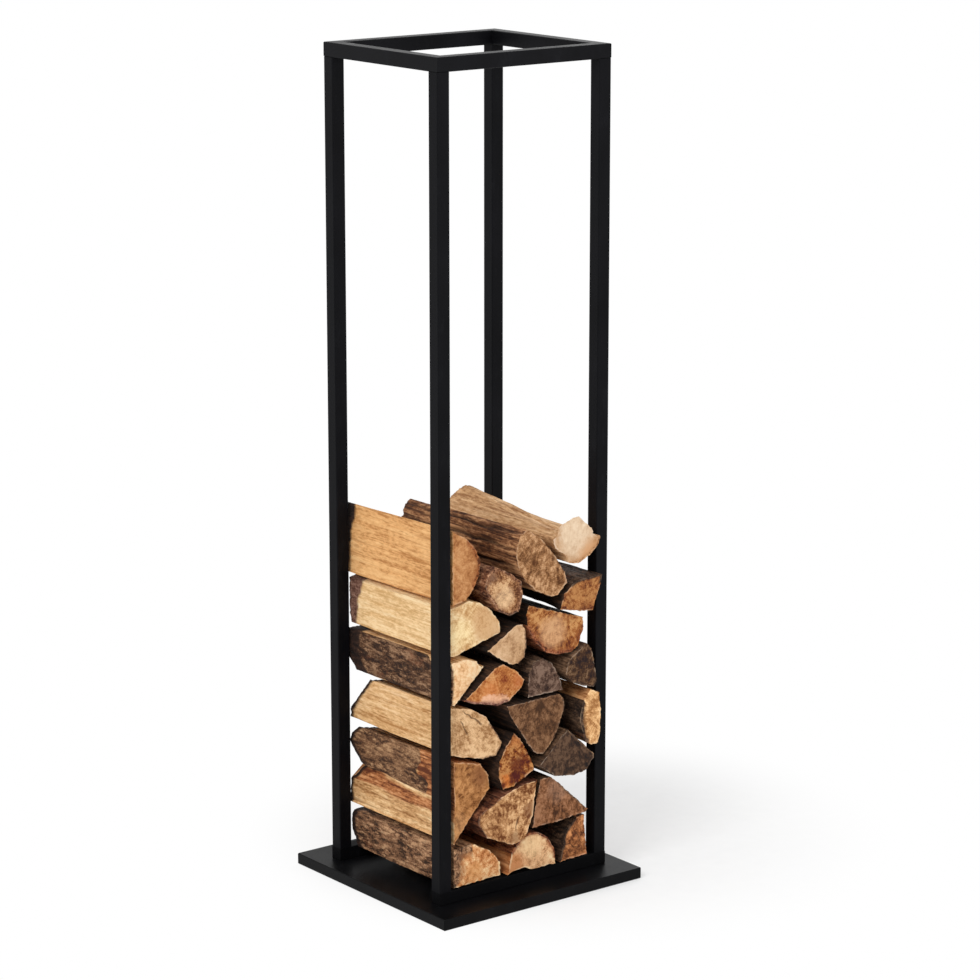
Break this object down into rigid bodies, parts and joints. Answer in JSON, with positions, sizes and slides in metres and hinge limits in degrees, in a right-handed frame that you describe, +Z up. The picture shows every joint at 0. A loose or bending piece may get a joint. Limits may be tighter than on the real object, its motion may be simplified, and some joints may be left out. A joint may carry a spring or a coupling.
{
  "type": "firewood rack",
  "caption": "Tall open square-tube firewood rack on a thick square base plate, loaded to mid height with split billets that pull out lengthwise.",
  "frame": {"origin": "centre of the base plate's underside", "axes": "+Z up along the uprights, -Y the open side the billet ends face, -X the side their long faces are seen from"},
  "size_m": [0.35, 0.35, 1.18],
  "materials": {
    "black_coat": "satin black powder coat",
    "matt_black": "dead matt black paint",
    "bright_steel": "zinc plated",
    "split_wood": "rough split firewood, pale",
    "split_wood_dark": "firewood with dark bark"
  },
  "bodies": {
    "rack": {"base_plate": "black_coat", "bottom_bar_front": "matt_black", "bottom_bar_back": "matt_black", "upright_fl": "black_coat", "upright_fr": "black_coat", "upright_bl": "black_coat", "upright_br": "black_coat", "rail_front": "black_coat", "rail_right": "black_coat", "rail_back": "black_coat", "rail_left": "black_coat", "tube_plugs": "bright_steel", "base_screws": "bright_steel"},
    "log_base_left": {"log_base_left": "split_wood_dark"},
    "log_base_mid": {"log_base_mid": "split_wood"},
    "log_base_right": {"log_base_right": "split_wood"},
    "log_row2_left": {"log_row2_left": "split_wood_dark"},
    "log_row2_mid": {"log_row2_mid": "split_wood"},
    "log_row2_right": {"log_row2_right": "split_wood"},
    "log_row3_mid": {"log_row3_mid": "split_wood"},
    "log_row3_right": {"log_row3_right": "split_wood_dark"},
    "log_row4_left": {"log_row4_left": "split_wood"},
    "log_row4_mid": {"log_row4_mid": "split_wood"},
    "log_row4_right": {"log_row4_right": "split_wood"},
    "log_row5_left": {"log_row5_left": "split_wood_dark"},
    "log_row5_mid_left": {"log_row5_mid_left": "split_wood"},
    "log_row5_mid_right": {"log_row5_mid_right": "split_wood"},
    "log_row5_right": {"log_row5_right": "split_wood"},
    "log_row6_left": {"log_row6_left": "split_wood"},
    "log_row6_mid": {"log_row6_mid": "split_wood"},
    "log_row6_right": {"log_row6_right": "split_wood"},
    "log_row7_left": {"log_row7_left": "split_wood"},
    "log_row7_mid_left": {"log_row7_mid_left": "split_wood"},
    "log_row7_mid_right": {"log_row7_mid_right": "split_wood_dark"},
    "log_row7_right": {"log_row7_right": "split_wood"},
    "log_top": {"log_top": "split_wood"}
  },
  "joints": [
    {"name": "log_base_left_pull", "type": "slide", "parent": "rack", "child": "log_base_left", "axis": [0, -1, 0], "range_m": [0, 0.258]},
    {"name": "log_base_mid_pull", "type": "slide", "parent": "rack", "child": "log_base_mid", "axis": [0, -1, 0], "range_m": [0, 0.262]},
    {"name": "log_base_right_pull", "type": "slide", "parent": "rack", "child": "log_base_right", "axis": [0, -1, 0], "range_m": [0, 0.258]},
    {"name": "log_row2_left_pull", "type": "slide", "parent": "rack", "child": "log_row2_left", "axis": [0, -1, 0], "range_m": [0, 0.258]},
    {"name": "log_row2_mid_pull", "type": "slide", "parent": "rack", "child": "log_row2_mid", "axis": [0, -1, 0], "range_m": [0, 0.256]},
    {"name": "log_row2_right_pull", "type": "slide", "parent": "rack", "child": "log_row2_right", "axis": [0, -1, 0], "range_m": [0, 0.257]},
    {"name": "log_row3_mid_pull", "type": "slide", "parent": "rack", "child": "log_row3_mid", "axis": [0, -1, 0], "range_m": [0, 0.25]},
    {"name": "log_row3_right_pull", "type": "slide", "parent": "rack", "child": "log_row3_right", "axis": [0, -1, 0], "range_m": [0, 0.254]},
    {"name": "log_row4_left_pull", "type": "slide", "parent": "rack", "child": "log_row4_left", "axis": [0, -1, 0], "range_m": [0, 0.26]},
    {"name": "log_row4_mid_pull", "type": "slide", "parent": "rack", "child": "log_row4_mid", "axis": [0, -1, 0], "range_m": [0, 0.258]},
    {"name": "log_row4_right_pull", "type": "slide", "parent": "rack", "child": "log_row4_right", "axis": [0, -1, 0], "range_m": [0, 0.248]},
    {"name": "log_row5_left_pull", "type": "slide", "parent": "rack", "child": "log_row5_left", "axis": [0, -1, 0], "range_m": [0, 0.258]},
    {"name": "log_row5_mid_left_pull", "type": "slide", "parent": "rack", "child": "log_row5_mid_left", "axis": [0, -1, 0], "range_m": [0, 0.256]},
    {"name": "log_row5_mid_right_pull", "type": "slide", "parent": "rack", "child": "log_row5_mid_right", "axis": [0, -1, 0], "range_m": [0, 0.246]},
    {"name": "log_row5_right_pull", "type": "slide", "parent": "rack", "child": "log_row5_right", "axis": [0, -1, 0], "range_m": [0, 0.254]},
    {"name": "log_row6_left_pull", "type": "slide", "parent": "rack", "child": "log_row6_left", "axis": [0, -1, 0], "range_m": [0, 0.259]},
    {"name": "log_row6_mid_pull", "type": "slide", "parent": "rack", "child": "log_row6_mid", "axis": [0, -1, 0], "range_m": [0, 0.25]},
    {"name": "log_row6_right_pull", "type": "slide", "parent": "rack", "child": "log_row6_right", "axis": [0, -1, 0], "range_m": [0, 0.262]},
    {"name": "log_row7_left_pull", "type": "slide", "parent": "rack", "child": "log_row7_left", "axis": [0, -1, 0], "range_m": [0, 0.262]},
    {"name": "log_row7_mid_left_pull", "type": "slide", "parent": "rack", "child": "log_row7_mid_left", "axis": [0, -1, 0], "range_m": [0, 0.25]},
    {"name": "log_row7_mid_right_pull", "type": "slide", "parent": "rack", "child": "log_row7_mid_right", "axis": [0, -1, 0], "range_m": [0, 0.27]},
    {"name": "log_row7_right_pull", "type": "slide", "parent": "rack", "child": "log_row7_right", "axis": [0, -1, 0], "range_m": [0, 0.25]},
    {"name": "log_top_pull", "type": "slide", "parent": "rack", "child": "log_top", "axis": [0, -1, 0], "range_m": [0, 0.25]}
  ]
}
